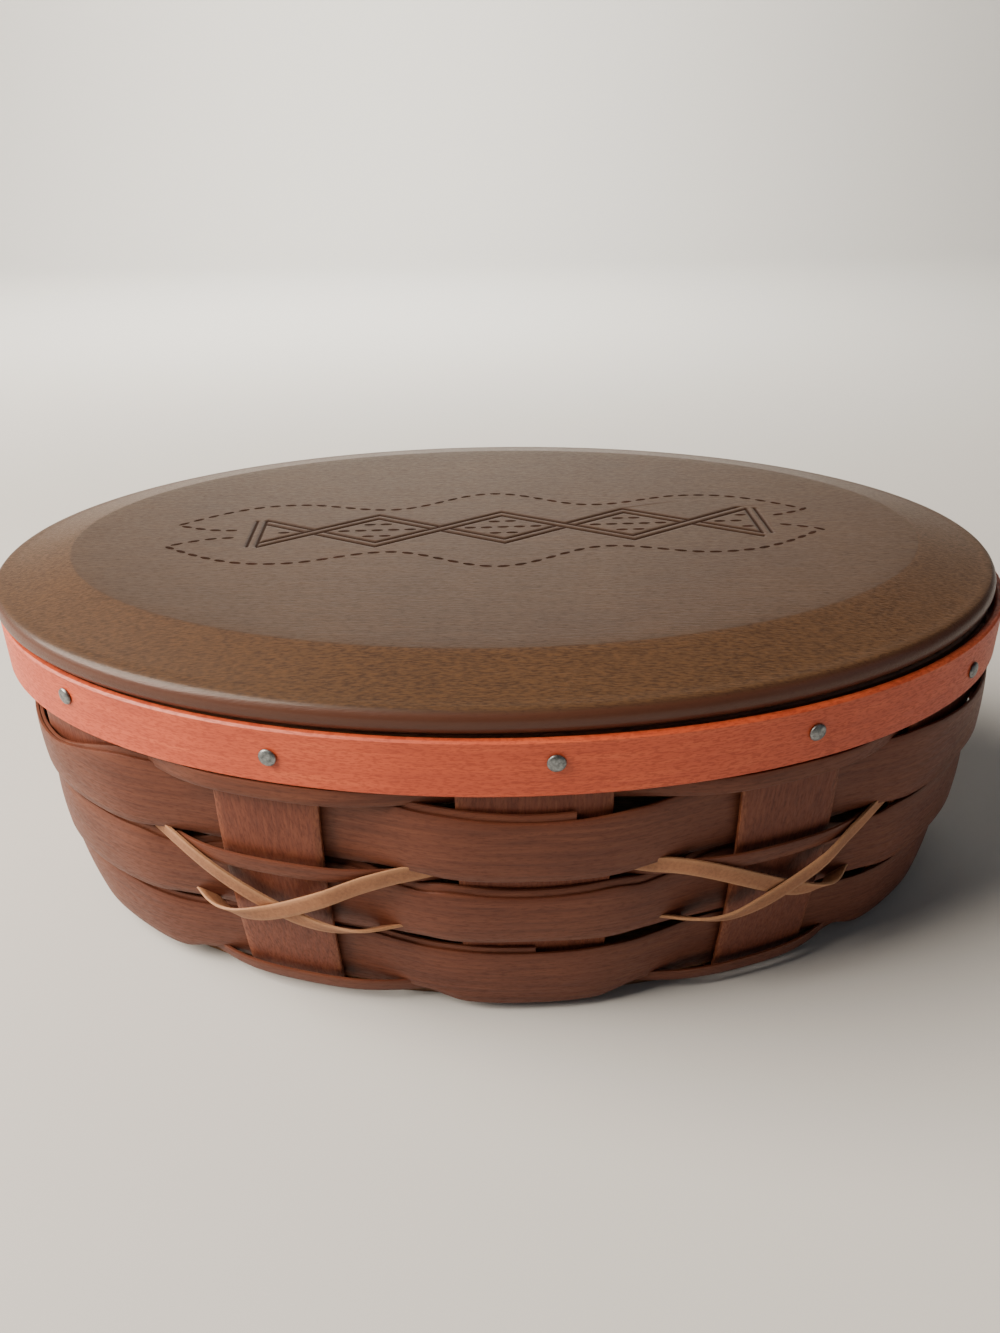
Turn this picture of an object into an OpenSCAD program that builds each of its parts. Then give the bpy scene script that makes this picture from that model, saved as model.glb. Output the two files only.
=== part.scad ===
// Oval lidded basket, woven from flat wooden splints, with a loose wooden lid.
// X runs along the length, the front faces -Y, Z is up and the basket stands on Z = 0.

/* [Rim] */
// outside length of the stained rim band
rim_l = 304.8; // [285:1:325]
// outside width of the stained rim band
rim_w = 212; // [200:1:225]
// height of both rim bands
band_h = 15.5; // [14:0.5:18]
// thickness of the stained outer band
outer_band_t = 2.4; // [1.8:0.1:3.2]
// thickness of the plain inner band
inner_band_t = 2.4; // [1.8:0.1:3.2]

/* [Body] */
// height from the table to the top edge of the rim
body_h = 97; // [90:1:110]
// how far the long sides lean in from the rim to the base
side_lean = 13.5; // [9:0.5:18]
// how far the ends lean in from the rim to the base
end_lean = 9; // [6:0.5:14]
// swell of the wall between rim and base, where 1 is a straight wall
wall_swell = 1.5; // [1:0.1:1.8]

/* [Uprights] */
// width of an upright that the wide weavers cover
covered_upright_w = 38.5; // [34:0.5:40]
// width of an upright that shows between the wide weavers
shown_upright_w = 29; // [26:0.5:34]
// thickness of an upright splint
upright_t = 1.2; // [1:0.1:1.5]
// turn between neighbouring uprights along the front
front_pitch = 26.2; // [25.5:0.1:28]
// turn from the last front upright to the one at the end
end_pitch = 44; // [40:0.5:47]
// turn of the whole set of uprights to the right
layout_turn = 2.7; // [0:0.1:6]
// radius of the bend at the foot
bend_r = 2.6; // [2.2:0.1:3.5]
// length of the foot inside the groove of the base
foot_in = 5; // [4:0.5:7]
// depth of the upright's top end below the rim edge
upright_drop = 1.5; // [1:0.5:3]

/* [Weave] */
// thickness of a wide weaver
wide_t = 1; // [0.8:0.1:1.2]
// height of a narrow weaver
narrow_h = 4.2; // [3.8:0.2:4.8]
// thickness of a narrow weaver
narrow_t = 1; // [0.8:0.1:1.2]
// how far the edges of a wide weaver draw in where it changes sides
edge_draw = 1.5; // [0.5:0.1:1.8]
// how far the weavers swing out and in around the uprights
weave_swing = 2.8; // [2.6:0.1:3.4]

/* [Laces] */
// width of a lace
lace_w = 4; // [3:0.2:4.2]
// thickness of a lace
lace_t = 0.8; // [0.6:0.1:1]
// part of the way between two uprights along which a lace changes gaps
lace_slope = 0.84; // [0.78:0.02:0.86]

/* [Tacks] */
// turn from the middle of an upright to its tack
tack_turn = 1.8; // [0:0.1:2.4]
// diameter of a tack head
tack_head_d = 4.8; // [4:0.2:6]
// height of a tack head
tack_head_h = 1; // [0.7:0.1:1.3]
// diameter of a tack shank
tack_shank_d = 1.3; // [1.1:0.1:1.6]

/* [Base] */
// thickness of the base board
base_t = 5; // [4.5:0.5:8]
// thickness of the lip under the groove
base_lip_t = 1.2; // [1:0.1:1.5]
// gap between the board edge and the start of the bend
base_edge_gap = 0.5; // [0.3:0.1:1]

/* [Lid] */
// thickness of the lid board above the rim
lid_t = 12; // [11:0.5:14]
// height of the rounded nose at the lid edge
nose_h = 7.2; // [6.2:0.2:8.4]
// width of the sloped border
bevel_w = 22.5; // [18:0.5:26]
// distance of the lid edge inside the rim edge
lid_set_in = 1.2; // [0:0.2:2]
// depth of the locating step under the lid
step_h = 6; // [4:0.5:8]
// free space around the locating step
step_clear = 2.6; // [2:0.2:4]
// sideways place of the lid, as a share of the free space around its step
lid_place = -0.77; // [-0.84:0.01:0.84]
// reach of the rounded nose in from the lid edge
nose_in = 3; // [2.4:0.2:4]
// chamfer at the bottom edge of the locating step
step_chamfer = 1.5; // [1:0.5:2.5]
// gap under the lid where it rests on the rim
lid_rest_gap = 0.35; // [0.3:0.05:0.5]

/* [Fits] */
// gap between two pieces that lie against each other
seat = 0.15; // [0.1:0.01:0.2]
// gap between two neighbouring rows of the weave
row_gap = 0.3; // [0.2:0.05:0.4]

/* [Hidden] */
uprights_around = 12;
rounds = 132;
hole_sides = 12;
front_span = 2;
wall_steps = 4;
// how long a weaver stays outside on its way to the end upright, where 1 is half of the way
end_hold = 1.6;
// share of the swing beyond which a weaver lies flat on an upright
weave_flat = 0.55;
// part of the way past an odd upright where a lace reaches the lower gap
lace_low_at = 0.28;
// turns of the last front upright and of the end upright from the middle of the front
front_turn = front_span * front_pitch;
end_turn = front_turn + end_pitch;
// turn between neighbouring uprights along the back
back_pitch = (360 - 2 * end_turn) / (uprights_around - 2 * front_span - 2);
// half axes of the wall's middle surface at the rim
wall_a = rim_l / 2 - outer_band_t - seat - upright_t / 2;
wall_b = rim_w / 2 - outer_band_t - seat - upright_t / 2;
outer_off = upright_t / 2 + seat;
inner_off = -upright_t / 2 - seat;
// levels
knee_z = body_h - band_h;
foot_z = base_lip_t + seat + upright_t / 2;
bend_z = foot_z + bend_r;
tack_z = body_h - band_h / 2;
bottom_row_z = max(bend_z, base_t) + row_gap;
wide_h = (knee_z - bottom_row_z - 3 * narrow_h - lace_w - 8 * row_gap) / 3;
wide3_z = bottom_row_z + narrow_h + row_gap;
lace_low_z = wide3_z + wide_h + row_gap;
wide2_z = lace_low_z + lace_w + row_gap;
narrow1_z = wide2_z + wide_h + row_gap;
wide1_z = narrow1_z + narrow_h + row_gap;
narrow0_z = wide1_z + wide_h + row_gap;
lace_high_z = narrow1_z + (narrow_h - lace_w) / 2;
// outward place of a lace on top of the narrow weaver
lace_lift = narrow_t / 2 + lace_t / 2 + seat;
lace_over = lace_t + 2 * seat;
tack_len = outer_band_t + upright_t + 2 * seat + 0.7 * inner_band_t;
tack_off = outer_off + outer_band_t + seat;
hole_d = tack_shank_d + 2 * seat;
hole_reach = tack_len + inner_band_t;
lid_shift = lid_place * step_clear;

// share of the lean at a height: none at the rim bands, all of it at the bend
function leaned(z) = pow(max(0, min(1, (knee_z - z) / (knee_z - bend_z))), wall_swell);
// half axes of the oval at a distance out from the wall and a height
function half_axes(off, z) = [wall_a + off - end_lean * leaned(z), wall_b + off - side_lean * leaned(z)];
// place on the wall: turn from the front, distance out from the wall, height
function place(turn, off, z) = let (h = half_axes(off, z)) [h[0] * sin(turn), -h[1] * cos(turn), z];
// length along the oval for one degree of turn
function run(turn, off, z) =
    let (h = half_axes(off, z))
    norm([h[0] * cos(turn), h[1] * sin(turn)]) * PI / 180;
// turn of the centre of upright k, counted from the front
function upright_turn(k) =
    let (n = abs(k) - front_span)
    layout_turn + (n <= 0 ? k * front_pitch
    : sign(k) * (n == 1 ? end_turn : end_turn + (n - 1) * back_pitch));
// counts uprights along the oval; whole numbers fall on the uprights
function upright_phase(turn) =
    let (t = turn - layout_turn, d = abs(t))
    d <= front_turn ? t / front_pitch
    : sign(t) * (front_span + (d <= end_turn ? pow((d - front_turn) / end_pitch, end_hold)
    : 1 + (d - end_turn) / back_pitch));
// turns of one round, starting at the back between two uprights
function round_turns(n) = [for (i = [0:n - 1]) layout_turn - 180 + 360 * i / n];
// swing of a weaver that passes outside the front upright; it lies flat along each upright
function swing(turn) =
    let (s = max(-1, min(1, cos(180 * upright_phase(turn)) / weave_flat)))
    weave_swing * s * (1.5 - 0.5 * s * s);
// share of a weaver's full width: none where it changes sides, all of it along an upright
function spread(turn) = ease((abs(swing(turn)) / weave_swing - 0.45) / 0.5);
// distance from the nearest odd upright, from -1 to 1
function odd_part(turn) = let (p = upright_phase(turn)) p - 1 - 2 * round((p - 1) / 2);
function ease(x) = let (c = max(0, min(1, x))) c * c * (3 - 2 * c);

function quad(a, b, c, d) = [[a, b, c], [a, c, d]];
// solid through a row of sections; a closed one joins its last section to its first
module through_sections(sections, closed) {
    n = len(sections);
    m = len(sections[0]);
    last = closed ? n - 1 : n - 2;
    sides = [for (i = [0:last]) for (c = [0:m - 1])
        each quad(i * m + c, i * m + (c + 1) % m, ((i + 1) % n) * m + (c + 1) % m, ((i + 1) % n) * m + c)];
    e = (n - 1) * m;
    caps = closed ? [] : [for (j = [0:m / 2 - 2])
        each concat(quad(m - 1 - j, m - 2 - j, j + 1, j),
                    quad(e + j, e + j + 1, e + m - 2 - j, e + m - 1 - j))];
    polyhedron([for (s = sections) each s], concat(sides, caps), convexity = 10);
}

// oval outline with half axes a and b
module flat_oval(a, b) {
    scale([1, b / a]) circle(r = a, $fn = 120);
}

// puts its child under the head of tack k, with Z pointing outwards
module at_tack(k) {
    turn = upright_turn(k) + tack_turn;
    face = atan2(-cos(turn) / (wall_b + tack_off), sin(turn) / (wall_a + tack_off));
    translate(place(turn, tack_off, tack_z)) rotate([0, 90, face]) children();
}

module tack_hole(k) {
    at_tack(k) translate([0, 0, -hole_reach]) cylinder(d = hole_d, h = 2 * hole_reach, $fn = hole_sides);
}

module base_board() {
    edge = half_axes(-bend_r - base_edge_gap, 0);
    core = half_axes(-bend_r - base_edge_gap - foot_in - seat, 0);
    groove_h = upright_t + 2 * seat;
    color("saddlebrown") union() {
        linear_extrude(base_lip_t) flat_oval(edge[0], edge[1]);
        linear_extrude(base_t) flat_oval(core[0], core[1]);
        translate([0, 0, base_lip_t + groove_h]) {
            linear_extrude(base_t - base_lip_t - groove_h) flat_oval(edge[0], edge[1]);
        }
    }
}

// one upright: a foot in the groove, a bend, the leaning wall and the straight top
module upright(k) {
    turn = upright_turn(k);
    half_w = (k % 2 == 0 ? covered_upright_w : shown_upright_w) / 2;
    path = concat(
        [[-bend_r - base_edge_gap - foot_in, foot_z, 0], [-bend_r, foot_z, 0]],
        [for (s = [30, 60]) [-bend_r + bend_r * sin(s), foot_z + bend_r * (1 - cos(s)), s]],
        [for (i = [0:wall_steps]) [0, bend_z + (knee_z - bend_z) * i / wall_steps, 90]],
        [[0, body_h - upright_drop, 90]]);
    across = [1, 0.6, 0.2, -0.2, -0.6, -1];
    sections = [for (p = path)
        let (half = half_w / run(turn, p[0], p[1]),
             o = upright_t / 2 * sin(p[2]), d = upright_t / 2 * cos(p[2]))
        concat([for (s = across) place(turn + s * half, p[0] + o, p[1] - d)],
               [for (i = [len(across) - 1:-1:0]) place(turn + across[i] * half, p[0] - o, p[1] + d)])];
    color("sienna") difference() {
        through_sections(sections, false);
        tack_hole(k);
    }
}

// one row of the weave; side 1 passes outside the front upright, side -1 inside it;
// along the uprights its edges reach further down and up
module weaver(z, h, t, side, down = 0, up = 0) {
    sections = [for (turn = round_turns(rounds))
        let (off = side * swing(turn), low = z - down * spread(turn), high = z + h + up * spread(turn))
        [place(turn, off + t / 2, low), place(turn, off + t / 2, high),
         place(turn, off - t / 2, high), place(turn, off - t / 2, low)]];
    color(h > 2 * narrow_h ? "peru" : "sienna") through_sections(sections, true);
}

// height of a lace: it changes between the two row gaps at every odd upright
function lace_z(turn, first) =
    let (q = odd_part(turn), cross = round((upright_phase(turn) - 1) / 2),
         start_high = (cross + first) % 2 == 0, fall = start_high ? q : -q)
    lace_low_z + (lace_high_z - lace_low_z) * ease((lace_low_at - fall) / lace_slope);
// the lace that falls to the left lies on top where the two cross
function lace_off(turn, first) =
    let (q = odd_part(turn), cross = round((upright_phase(turn) - 1) / 2),
         start_high = (cross + first) % 2 == 0)
    lace_lift - swing(turn) + (start_high ? 0 : lace_over * ease(2 - abs(q) / 0.18));

module lace(first) {
    sections = [for (turn = round_turns(rounds))
        let (z = lace_z(turn, first), off = lace_off(turn, first))
        [place(turn, off + lace_t / 2, z), place(turn, off + lace_t / 2, z + lace_w),
         place(turn, off - lace_t / 2, z + lace_w), place(turn, off - lace_t / 2, z)]];
    color("tan") through_sections(sections, true);
}

// oval ring between two distances from the wall, with holes for the tacks
module rim_band(low_off, t) {
    difference() {
        translate([0, 0, knee_z]) linear_extrude(band_h) difference() {
            flat_oval(wall_a + low_off + t, wall_b + low_off + t);
            flat_oval(wall_a + low_off, wall_b + low_off);
        }
        for (k = [-5:6]) tack_hole(k);
    }
}

module outer_band() {
    color("orangered") rim_band(outer_off, outer_band_t);
}

module inner_band() {
    color("sienna") rim_band(inner_off - inner_band_t, inner_band_t);
}

module rim_tacks() {
    r = tack_head_d / 2;
    s = tack_shank_d / 2;
    color("silver") for (k = [-5:6]) at_tack(k) {
        rotate_extrude($fn = hole_sides) polygon([[0, -tack_len], [s, -tack_len + 2 * s], [s, 0], [r, 0],
            [r, 0.4 * tack_head_h], [0.7 * r, 0.85 * tack_head_h], [0, tack_head_h]]);
    }
}

// one board with a sloped border, a rounded nose and a locating step below
module lid() {
    a = rim_l / 2 - lid_set_in;
    b = rim_w / 2 - lid_set_in;
    in_step = outer_band_t + 2 * seat + upright_t + inner_band_t + step_clear - lid_set_in;
    profile = [[in_step + step_chamfer, -step_h], [in_step, step_chamfer - step_h], [in_step, lid_rest_gap],
        [0.55 * nose_in, lid_rest_gap], [0.13 * nose_in, 0.2 * nose_h], [0, 0.45 * nose_h],
        [0.13 * nose_in, 0.75 * nose_h], [0.55 * nose_in, 0.93 * nose_h], [nose_in, nose_h],
        [bevel_w, lid_t]];
    n = rounds;
    m = len(profile);
    points = [for (p = profile) for (turn = round_turns(n))
        [lid_shift + (a - p[0]) * sin(turn), -(b - p[0]) * cos(turn), body_h + p[1]]];
    sides = [for (i = [0:m - 2]) for (c = [0:n - 1])
        each quad(i * n + c, (i + 1) * n + c, (i + 1) * n + (c + 1) % n, i * n + (c + 1) % n)];
    caps = [[for (c = [0:n - 1]) c], [for (c = [n - 1:-1:0]) (m - 1) * n + c]];
    color("dimgray") polyhedron(points, concat(sides, caps), convexity = 4);
}

base_board();
upright(0);  // upright_front
upright(1);  // upright_front_right
upright(2);  // upright_right_front
upright(3);  // upright_right
upright(4);  // upright_right_back
upright(5);  // upright_back_right
upright(6);  // upright_back
upright(-5);  // upright_back_left
upright(-4);  // upright_left_back
upright(-3);  // upright_left
upright(-2);  // upright_left_front
upright(-1);  // upright_front_left
weaver(wide1_z, wide_h, wide_t, 1, edge_draw, edge_draw);  // wide_weaver_top
weaver(wide2_z, wide_h, wide_t, 1, edge_draw, edge_draw);  // wide_weaver_middle
weaver(wide3_z, wide_h, wide_t, 1, narrow_h, edge_draw);  // wide_weaver_bottom
weaver(narrow0_z, narrow_h, narrow_t, -1);  // narrow_weaver_top
weaver(narrow1_z, narrow_h, narrow_t, -1);  // narrow_weaver_middle
weaver(bottom_row_z, narrow_h, narrow_t, -1);  // narrow_weaver_bottom
lace(0);  // lace_first
lace(1);  // lace_second
outer_band();
inner_band();
rim_tacks();
lid();
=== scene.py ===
"""Oval lidded basket of woven wooden splints: its visible pieces, finishes, light and camera.

Lengths in the dataclasses are millimetres; meshes are written in metres. Turns are degrees round
the oval, counted from the front (-Y) towards the right (+X).
"""
import logging
import math
from dataclasses import dataclass, field
from enum import Enum
from typing import Any, Sequence

import bmesh
import bpy
from mathutils import Matrix, Vector


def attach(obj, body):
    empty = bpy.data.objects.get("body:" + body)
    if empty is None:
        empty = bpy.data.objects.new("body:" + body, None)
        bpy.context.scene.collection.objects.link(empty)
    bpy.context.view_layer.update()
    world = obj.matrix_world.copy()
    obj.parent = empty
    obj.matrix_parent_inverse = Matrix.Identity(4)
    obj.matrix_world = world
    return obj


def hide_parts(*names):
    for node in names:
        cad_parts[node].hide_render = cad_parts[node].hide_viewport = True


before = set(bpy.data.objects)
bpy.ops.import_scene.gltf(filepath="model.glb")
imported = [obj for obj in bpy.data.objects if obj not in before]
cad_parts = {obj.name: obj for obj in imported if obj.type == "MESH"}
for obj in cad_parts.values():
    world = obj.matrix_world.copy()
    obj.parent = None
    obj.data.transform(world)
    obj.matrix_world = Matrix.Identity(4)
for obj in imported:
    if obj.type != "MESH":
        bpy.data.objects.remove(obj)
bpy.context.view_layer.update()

LOG = logging.getLogger("lidded_basket")
MM = 0.001
BASKET = "basket"
LID = "lid"

Material = bpy.types.Material
Piece = bpy.types.Object
Socket = bpy.types.NodeSocket
Point = tuple[float, float, float]


class Grain(Enum):
    """Way the wood grain runs on a piece, as the stretch of its pattern along X, Y and Z."""

    AROUND = (0.05, 0.05, 1.0)
    UP = (1.0, 1.0, 0.05)
    ALONG = (0.05, 1.0, 1.0)


class Turn(Enum):
    """Side on which a weaver passes the front upright."""

    OUTSIDE = 1
    INSIDE = -1


def linear(code: str) -> tuple[float, float, float, float]:
    """Turn an sRGB hex colour into linear values.

    Args:
        code: six hex digits with a leading hash.

    Returns:
        Linear red, green and blue with an alpha of one.
    """
    values = [int(code[i:i + 2], 16) / 255 for i in (1, 3, 5)]
    red, green, blue = [v / 12.92 if v <= 0.04045 else ((v + 0.055) / 1.055) ** 2.4 for v in values]
    return red, green, blue, 1.0


def fill(tree: bpy.types.NodeTree, node: bpy.types.Node, inputs: dict[Any, Any]) -> None:
    """Set or link the inputs of a node.

    Args:
        tree: tree that holds the node.
        node: the node.
        inputs: socket name or number to a value, or to an output socket that is linked.
    """
    for key, value in inputs.items():
        if isinstance(value, Socket):
            tree.links.new(value, node.inputs[key])
        else:
            node.inputs[key].default_value = value


def add_node(tree: bpy.types.NodeTree, kind: str, settings: dict[str, Any] | None = None,
             inputs: dict[Any, Any] | None = None) -> bpy.types.Node:
    """Add a node, set its properties and fill or link its inputs.

    Args:
        tree: tree that gets the node.
        kind: the node's type name.
        settings: properties to set on the node.
        inputs: socket name or number to a value, or to an output socket that is linked.

    Returns:
        The new node.
    """
    node = tree.nodes.new(kind)
    for name, value in (settings or {}).items():
        setattr(node, name, value)
    fill(tree, node, inputs or {})
    return node


def set_ramp(node: bpy.types.Node, stops: Sequence[tuple[float, Sequence[float]]]) -> bpy.types.Node:
    """Give a colour ramp its stops.

    Args:
        node: the ramp node.
        stops: position and linear colour of each stop, in order.

    Returns:
        The same node.
    """
    elements = node.color_ramp.elements
    while len(elements) < len(stops):
        elements.new(1.0)
    for element, (position, colour) in zip(elements, stops):
        element.position = position
        element.color = colour
    return node


def new_material(name: str) -> tuple[Material, bpy.types.NodeTree, bpy.types.Node]:
    """Start an empty node material.

    Args:
        name: common name of the real material.

    Returns:
        The material, its tree and its surface shader.
    """
    material = bpy.data.materials.new(name)
    material.use_nodes = True
    tree = material.node_tree
    tree.nodes.clear()
    shader = add_node(tree, "ShaderNodeBsdfPrincipled")
    add_node(tree, "ShaderNodeOutputMaterial", inputs={"Surface": shader.outputs["BSDF"]})
    return material, tree, shader


@dataclass(frozen=True)
class WoodFinish:
    """Stained wood: streaks along the grain, small pores, and parts that were worked, rubbed or tinted with
    painted light and shade.

    The marks on a piece's points say where its edges are tinted ("edge": rubbed wear on the uprights, painted
    shade along the weavers' edges, lighter flecks partly of painted sheen on the lid's slope), where it is
    charred ("pressed") and where the lacquer has gathered on a rounded nose ("gloss").
    """

    name: str
    grain: Grain
    dark: str
    middle: str
    light: str
    pore: str
    edge: str
    tones: tuple[float, float, float] = (0.3, 0.5, 0.7)
    streak_mm: float = 1.6
    # Real pores are finer than 0.1 mm, and are drawn as coarse as they need to show.
    pore_mm: float = 0.7
    pore_run: float = 0.22
    pore_share: float = 0.36
    pore_soft: float = 0.12
    pore_strength: float = 0.6
    edge_flecks: tuple[float, float] = (0.44, 0.64)
    edge_least: float = 0.08
    edge_strength: float = 0.5
    char_from: float = 0.6
    rough_pores: tuple[float, float] = (0.3, 0.7)
    roughness: tuple[float, float] = (0.42, 0.6)
    coat: float = 0.0
    coat_roughness: float = 0.3
    specular: float = 0.5
    ior: float = 1.5
    bump: float = 0.15
    bump_mm: float = 0.25
    cloud_mm: float = 38.0
    cloud: float = 0.25
    nose: str = "#522E21"
    nose_share: float = 0.75
    nose_coat: float = 0.17

    def build(self) -> Material:
        """Build the material.

        Returns:
            The finished material.
        """
        material, tree, shader = new_material(self.name)
        place = add_node(tree, "ShaderNodeTexCoord").outputs["Object"]
        run = Vector(self.grain.value)
        along = add_node(tree, "ShaderNodeMapping", inputs={
            "Vector": place, "Scale": run * (1 / (self.streak_mm * MM))})
        pore_run = Vector([max(v, self.pore_run) for v in run])
        short = add_node(tree, "ShaderNodeMapping", inputs={
            "Vector": place, "Scale": pore_run * (1 / (self.pore_mm * MM))})
        streaks = add_node(tree, "ShaderNodeTexNoise", inputs={
            "Vector": along.outputs["Vector"], "Scale": 1.0, "Detail": 6.0, "Roughness": 0.62,
            "Distortion": 0.25})
        pores = add_node(tree, "ShaderNodeTexNoise", inputs={
            "Vector": short.outputs["Vector"], "Scale": 1.0, "Detail": 3.0, "Roughness": 0.55})
        clouds = add_node(tree, "ShaderNodeTexNoise", inputs={
            "Vector": place, "Scale": 1 / (self.cloud_mm * MM), "Detail": 2.0})
        tone = add_node(tree, "ShaderNodeMix", {"data_type": "FLOAT"}, {
            "Factor": self.cloud, "A": streaks.outputs["Fac"], "B": clouds.outputs["Fac"]})
        colours = [linear(code) for code in (self.dark, self.middle, self.light)]
        wood = set_ramp(add_node(tree, "ShaderNodeValToRGB", inputs={"Fac": tone.outputs["Result"]}),
                        list(zip(self.tones, colours)))
        spots = add_node(tree, "ShaderNodeMapRange", inputs={
            "Value": pores.outputs["Fac"], "From Min": self.pore_share,
            "From Max": self.pore_share + self.pore_soft, "To Min": self.pore_strength, "To Max": 0.0})
        pored = add_node(tree, "ShaderNodeMix", {"data_type": "RGBA"}, {
            "Factor": spots.outputs["Result"], "A": wood.outputs["Color"], "B": linear(self.pore)})
        edge = add_node(tree, "ShaderNodeAttribute", {"attribute_name": "edge"})
        # Edge flecks: rubbed wear on the uprights, painted shade along the weavers' edges, lighter flecks
        # partly of painted sheen on the lid's slope.
        edge_fleck_share = add_node(tree, "ShaderNodeMapRange", inputs={
            "Value": pores.outputs["Fac"], "From Min": self.edge_flecks[0], "From Max": self.edge_flecks[1],
            "To Min": self.edge_least, "To Max": self.edge_strength})
        edge_wear_shade_and_sheen = add_node(tree, "ShaderNodeMath", {"operation": "MULTIPLY"}, {
            0: edge.outputs["Fac"], 1: edge_fleck_share.outputs["Result"]})
        coloured = add_node(tree, "ShaderNodeMix", {"data_type": "RGBA"}, {
            "Factor": edge_wear_shade_and_sheen.outputs["Value"], "A": pored.outputs["Result"], "B": linear(self.edge)})
        pressed = add_node(tree, "ShaderNodeAttribute", {"attribute_name": "pressed"})
        burnt = add_node(tree, "ShaderNodeMix", {"data_type": "RGBA"}, {
            "Factor": pressed.outputs["Fac"], "A": coloured.outputs["Result"], "B": linear(self.pore)})
        gloss = add_node(tree, "ShaderNodeAttribute", {"attribute_name": "gloss"})
        share = add_node(tree, "ShaderNodeMath", {"operation": "MULTIPLY"}, {
            0: gloss.outputs["Fac"], 1: self.nose_share})
        stained = add_node(tree, "ShaderNodeMix", {"data_type": "RGBA"}, {
            "Factor": share.outputs["Value"], "A": burnt.outputs["Result"], "B": linear(self.nose)})
        rough = add_node(tree, "ShaderNodeMapRange", inputs={
            "Value": pores.outputs["Fac"], "From Min": self.rough_pores[0], "From Max": self.rough_pores[1],
            "To Min": self.roughness[1], "To Max": self.roughness[0]})
        dull = add_node(tree, "ShaderNodeMapRange", inputs={
            "Value": pressed.outputs["Fac"], "From Min": self.char_from, "To Min": 0.0, "To Max": 1.0})
        dulled = add_node(tree, "ShaderNodeMix", {"data_type": "FLOAT"}, {
            "Factor": dull.outputs["Result"], "A": rough.outputs["Result"], "B": 1.0})
        lacquer = add_node(tree, "ShaderNodeMapRange", inputs={
            "Value": dull.outputs["Result"], "To Min": self.coat, "To Max": 0.0})
        sealed = add_node(tree, "ShaderNodeMath", {"operation": "MULTIPLY_ADD"}, {
            0: gloss.outputs["Fac"], 1: self.nose_coat, 2: lacquer.outputs["Result"]})
        height = add_node(tree, "ShaderNodeMath", {"operation": "ADD"}, {
            0: streaks.outputs["Fac"], 1: pores.outputs["Fac"]})
        bump = add_node(tree, "ShaderNodeBump", inputs={
            "Strength": self.bump, "Distance": self.bump_mm * MM, "Height": height.outputs["Value"]})
        fill(tree, shader, {
            "Base Color": stained.outputs["Result"], "Roughness": dulled.outputs["Result"],
            "Normal": bump.outputs["Normal"], "Coat Weight": sealed.outputs["Value"],
            "Specular IOR Level": self.specular, "Coat Roughness": self.coat_roughness, "IOR": self.ior})
        return material


@dataclass(frozen=True)
class LeatherFinish:
    """Undyed cut leather: a dull tan face with fibres and paler raw edges."""

    name: str
    face: str
    shade: str
    edge: str
    tones: tuple[float, float] = (0.35, 0.62)
    # Real fibres are hair-fine, and are drawn as coarse as they need to show.
    fibre_mm: float = 0.9
    cloud_mm: float = 14.0
    cloud: float = 0.45
    edge_strength: float = 0.6
    bump: float = 0.35
    bump_mm: float = 0.3
    roughness: float = 0.72

    def build(self) -> Material:
        """Build the material.

        Returns:
            The finished material.
        """
        material, tree, shader = new_material(self.name)
        place = add_node(tree, "ShaderNodeTexCoord").outputs["Object"]
        fibres = add_node(tree, "ShaderNodeTexNoise", inputs={
            "Vector": place, "Scale": 1 / (self.fibre_mm * MM), "Detail": 5.0, "Roughness": 0.65})
        clouds = add_node(tree, "ShaderNodeTexNoise", inputs={
            "Vector": place, "Scale": 1 / (self.cloud_mm * MM), "Detail": 2.0})
        tone = add_node(tree, "ShaderNodeMix", {"data_type": "FLOAT"}, {
            "Factor": self.cloud, "A": fibres.outputs["Fac"], "B": clouds.outputs["Fac"]})
        skin = set_ramp(add_node(tree, "ShaderNodeValToRGB", inputs={"Fac": tone.outputs["Result"]}), (
            (self.tones[0], linear(self.shade)), (self.tones[1], linear(self.face))))
        edge = add_node(tree, "ShaderNodeAttribute", {"attribute_name": "edge"})
        raw = add_node(tree, "ShaderNodeMath", {"operation": "MULTIPLY"}, {
            0: edge.outputs["Fac"], 1: self.edge_strength})
        mixed = add_node(tree, "ShaderNodeMix", {"data_type": "RGBA"}, {
            "Factor": raw.outputs["Value"], "A": skin.outputs["Color"], "B": linear(self.edge)})
        bump = add_node(tree, "ShaderNodeBump", inputs={
            "Strength": self.bump, "Distance": self.bump_mm * MM, "Height": fibres.outputs["Fac"]})
        fill(tree, shader, {"Base Color": mixed.outputs["Result"], "Normal": bump.outputs["Normal"],
                            "Roughness": self.roughness})
        return material


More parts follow.
